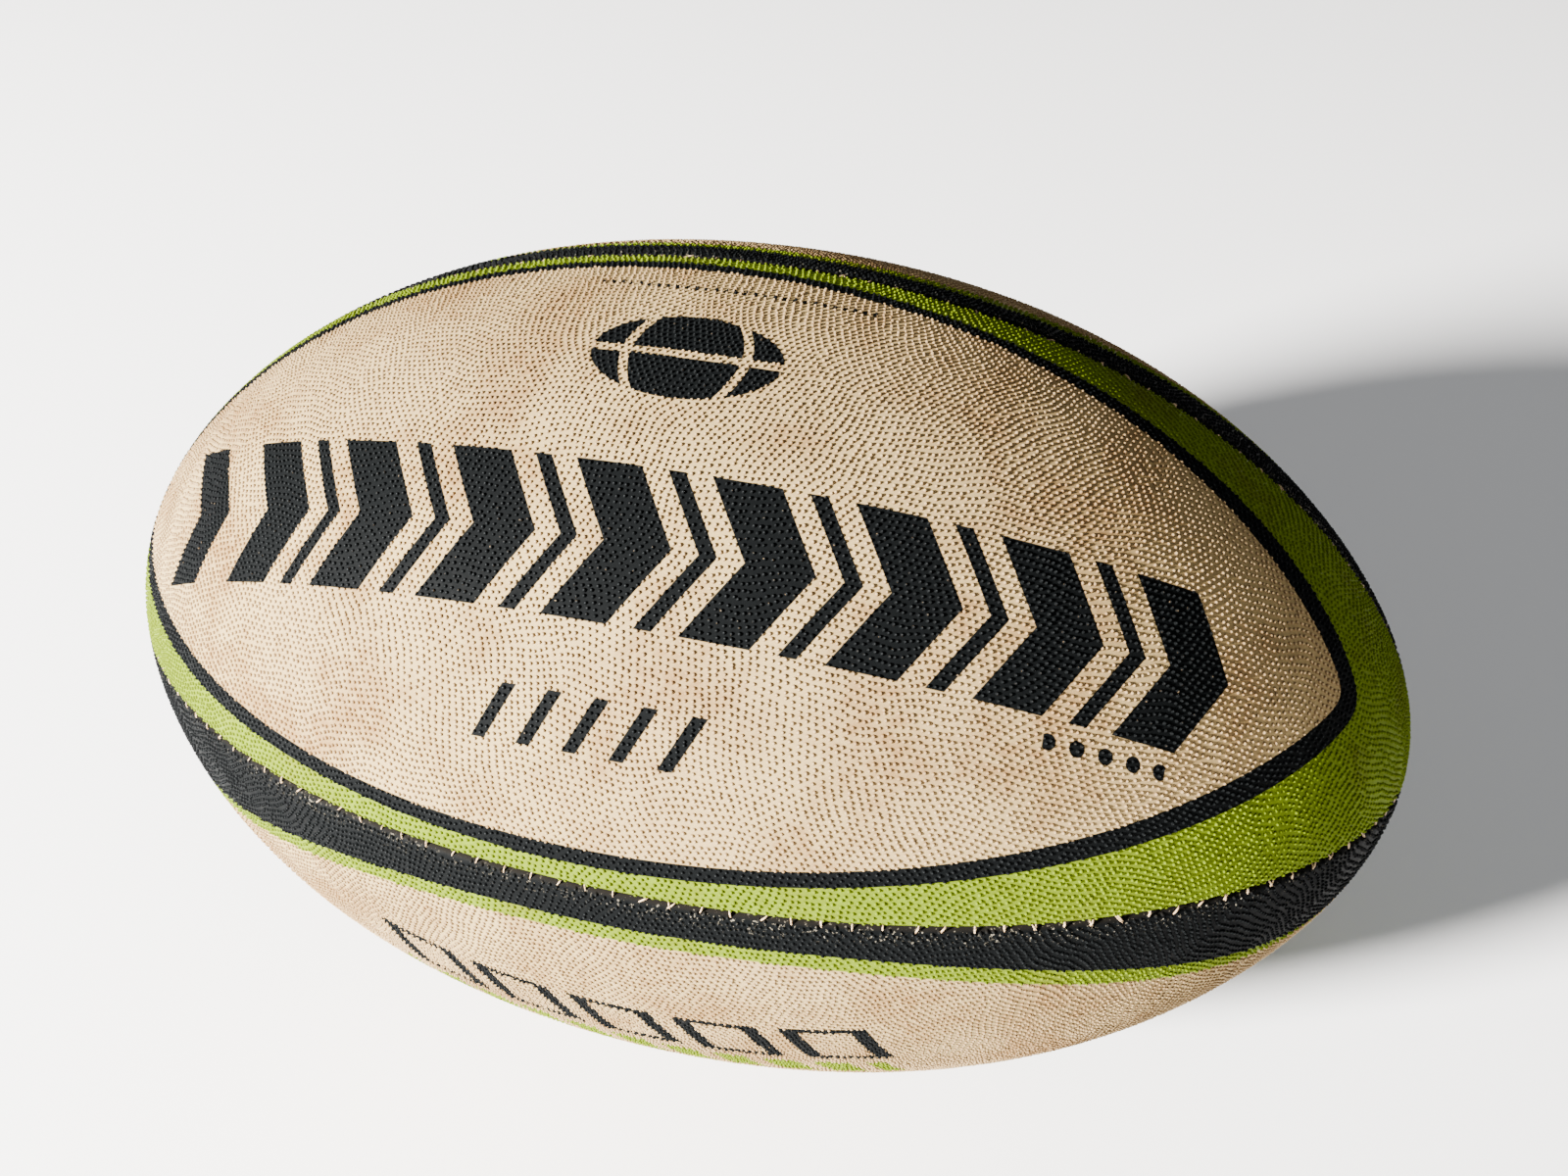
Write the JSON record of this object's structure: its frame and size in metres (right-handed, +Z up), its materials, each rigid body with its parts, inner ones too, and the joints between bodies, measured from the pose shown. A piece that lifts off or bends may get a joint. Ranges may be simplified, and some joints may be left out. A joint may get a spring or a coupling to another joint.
{
  "type": "rugby ball",
  "caption": "Oval ball, hand stitched from pimpled rubber panels round an air bladder, with a needle valve in one panel.",
  "frame": {"origin": "centre of the ball", "axes": "+X runs along the ball from tip to tip; +Z is up with the ball lying on its side; the first panel faces -Y and up"},
  "size_m": [0.2956, 0.1848, 0.1848],
  "materials": {
    "cover_rubber": "pimpled rubber, worn, printed in green and black",
    "cotton_ply": "woven cotton and polyester, laminated",
    "waxed_thread": "waxed twisted thread",
    "bladder_rubber": "smooth synthetic latex",
    "valve_rubber": "soft matte rubber"
  },
  "bodies": {
    "ball": {"panel_1_cover": "cover_rubber", "panel_2_cover": "cover_rubber", "panel_3_cover": "cover_rubber", "panel_4_cover": "cover_rubber", "panel_1_ply_1": "cotton_ply", "panel_1_ply_2": "cotton_ply", "panel_1_ply_3": "cotton_ply", "panel_2_ply_1": "cotton_ply", "panel_2_ply_2": "cotton_ply", "panel_2_ply_3": "cotton_ply", "panel_3_ply_1": "cotton_ply", "panel_3_ply_2": "cotton_ply", "panel_3_ply_3": "cotton_ply", "panel_4_ply_1": "cotton_ply", "panel_4_ply_2": "cotton_ply", "panel_4_ply_3": "cotton_ply", "seam_1_thread": "waxed_thread", "seam_2_thread": "waxed_thread", "seam_3_thread": "waxed_thread", "seam_4_thread": "waxed_thread", "bladder": "bladder_rubber", "valve_boot": "bladder_rubber", "valve_core": "valve_rubber"}
  },
  "joints": []
}
